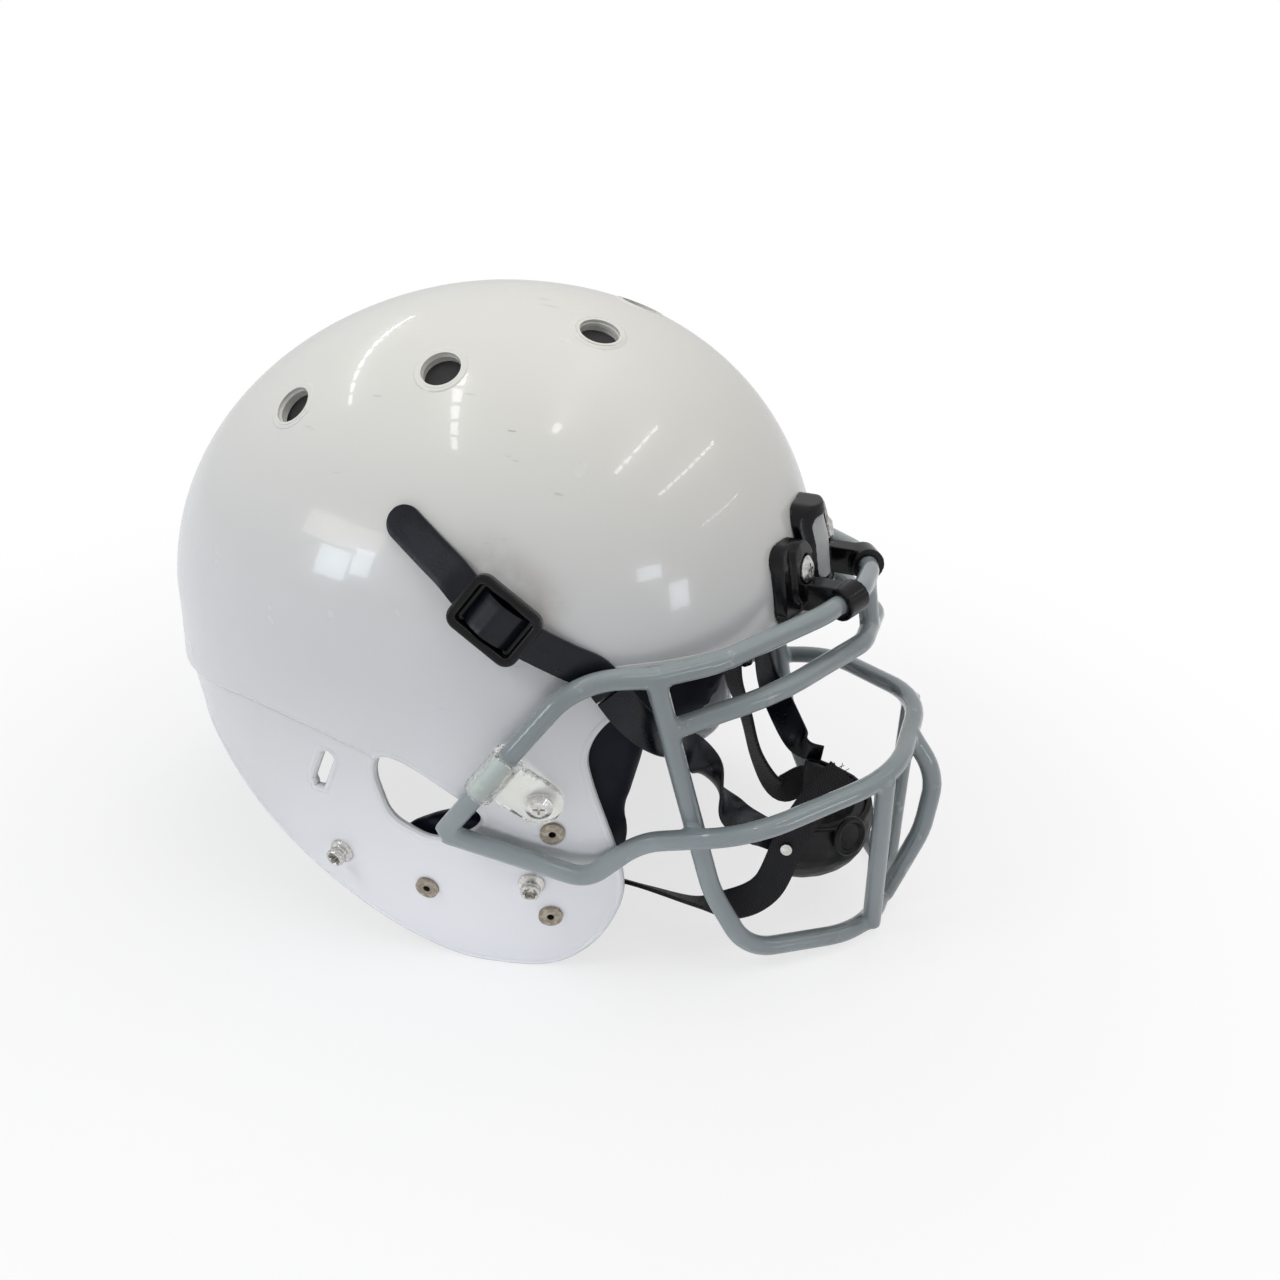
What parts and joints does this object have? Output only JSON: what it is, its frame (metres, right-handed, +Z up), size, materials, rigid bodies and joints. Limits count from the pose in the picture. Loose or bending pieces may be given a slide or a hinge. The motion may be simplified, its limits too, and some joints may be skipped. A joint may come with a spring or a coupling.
{
  "type": "football helmet",
  "caption": "Open-faced hard-shell helmet with padded lining, clipped wire face guard and a buckled chin strap with a hard cup.",
  "frame": {"origin": "middle of the head opening, on the surface that the helmet stands on, below the shell's widest section", "axes": "+Z up, -Y the way the wearer looks, -X the wearer's right"},
  "size_m": [0.2456, 0.3585, 0.264],
  "materials": {
    "shell": "gloss",
    "guard": "gloss",
    "black_plastic": "satin",
    "plate": "satin",
    "clear_plastic": "gloss",
    "steel": "polished",
    "rivet_metal": "satin",
    "pad": "matte",
    "jaw_pad": "satin",
    "cup": "satin",
    "liner": "matte",
    "webbing": "matte"
  },
  "bodies": {
    "helmet": {"shell": "shell", "brow_rod": "guard", "main_rod": "guard", "eye_rod": "guard", "chin_rod": "guard", "front_post_right": "guard", "front_post_left": "guard", "front_post_centre": "guard", "nose_link": "guard", "brow_clip_right": "black_plastic", "brow_clip_left": "black_plastic", "brow_screws": "steel", "front_bumper": "black_plastic", "bumper_plate": "plate", "side_clip_right": "clear_plastic", "side_clip_left": "clear_plastic", "side_clip_screws": "steel", "t_nuts": "steel", "snap_studs": "steel", "jaw_rivets": "rivet_metal", "crown_pad": "pad", "brow_pad": "pad", "side_pad_right": "pad", "side_pad_left": "pad", "nape_pad": "pad", "jaw_pad_right": "jaw_pad", "jaw_pad_left": "jaw_pad", "upper_strap_right": "webbing", "upper_strap_left": "webbing", "upper_buckle_right": "black_plastic", "upper_buckle_left": "black_plastic"},
    "chin_strap": {"chin_cup": "cup", "cup_liner": "liner", "cup_ring": "cup", "cup_rivets": "steel", "cup_strap_right": "webbing", "cup_strap_left": "webbing"},
    "near_lower_strap": {"lower_strap_right": "webbing", "lower_buckle_right": "black_plastic"},
    "far_lower_strap": {"lower_strap_left": "webbing", "lower_buckle_left": "black_plastic"}
  },
  "joints": [
    {"name": "chin_strap_swing", "type": "hinge", "parent": "helmet", "child": "chin_strap", "pos_m": [0, -0.0848, 0.14], "axis": [1, 0, 0], "range_deg": [-3, 6]},
    {"name": "near_lower_strap_turn", "type": "hinge", "parent": "chin_strap", "child": "near_lower_strap", "pos_m": [-0.037, -0.1475, 0.045], "axis": [-0.9744, -0.1005, 0.2009], "range_deg": [-5, 12]},
    {"name": "far_lower_strap_turn", "type": "hinge", "parent": "chin_strap", "child": "far_lower_strap", "pos_m": [0.034, -0.1465, 0.0365], "axis": [0.9798, 0, -0.2], "range_deg": [-10, 15]}
  ]
}
